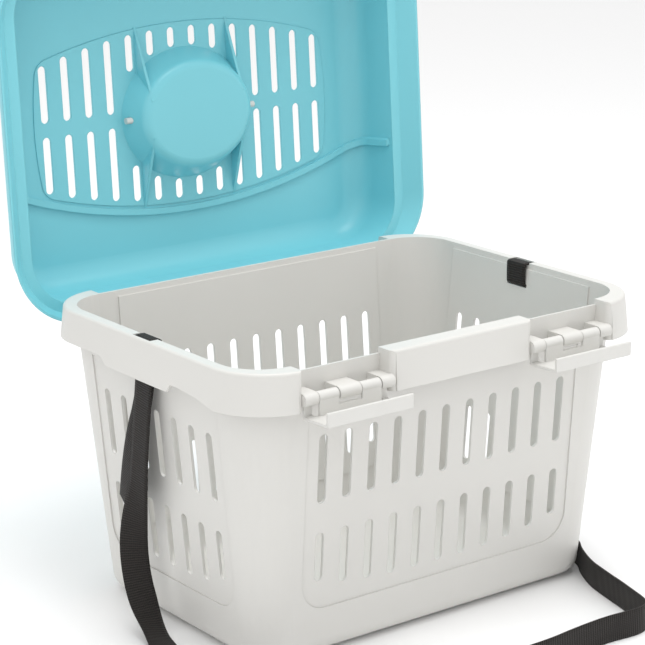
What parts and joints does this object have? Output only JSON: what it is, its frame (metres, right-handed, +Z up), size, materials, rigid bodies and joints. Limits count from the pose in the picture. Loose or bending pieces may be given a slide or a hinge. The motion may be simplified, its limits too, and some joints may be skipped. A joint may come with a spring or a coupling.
{
  "type": "plastic pet carrier",
  "caption": "Small-pet carrier basket: slotted plastic tub, domed hinged lid with oval well and folding handle, hooked clip latches in front and a webbing shoulder strap.",
  "frame": {"origin": "on the floor under the middle of the tub; the tub's underside is 2.5 mm above it on four feet", "axes": "+X along the carrier's length to the right seen from the latches, the latches face -Y, the hinge is at +Y, +Z up"},
  "size_m": [0.4815, 0.5284, 0.5782],
  "materials": {
    "tub_plastic": "satin moulded, pale warm grey",
    "lid_plastic": "satin moulded, turquoise",
    "handle_plastic": "satin moulded, pale grey",
    "latch_plastic": "satin moulded, pale grey",
    "pin": "drawn wire",
    "webbing": "woven, ribbed across"
  },
  "bodies": {
    "tub": {"tub": "tub_plastic", "latch_pin_left": "pin", "latch_pin_right": "pin", "hinge_pin_left": "pin", "hinge_pin_right": "pin", "strap_loop_left": "webbing", "strap_loop_right": "webbing", "strap_tail_left": "webbing", "strap_tail_right": "webbing", "strap_run": "webbing"},
    "lid": {"lid": "lid_plastic"},
    "handle": {"handle": "handle_plastic"},
    "latch_left": {"latch_left": "latch_plastic"},
    "latch_right": {"latch_right": "latch_plastic"}
  },
  "joints": [
    {"name": "lid_hinge", "type": "hinge", "parent": "tub", "child": "lid", "pos_m": [0, 0.163, 0.247], "axis": [1, 0, 0], "range_deg": [0, 93.6]},
    {"name": "handle_pivot", "type": "hinge", "parent": "lid", "child": "handle", "pos_m": [0, 0.2439, 0.40523], "axis": [1, 0, 0], "range_deg": [-3.6, 176.4]},
    {"name": "latch_left_pivot", "type": "hinge", "parent": "tub", "child": "latch_left", "pos_m": [-0.123, -0.163, 0.247], "axis": [-1, 0, 0], "range_deg": [0, 90]},
    {"name": "latch_right_pivot", "type": "hinge", "parent": "tub", "child": "latch_right", "pos_m": [0.123, -0.163, 0.247], "axis": [-1, 0, 0], "range_deg": [0, 90]}
  ]
}
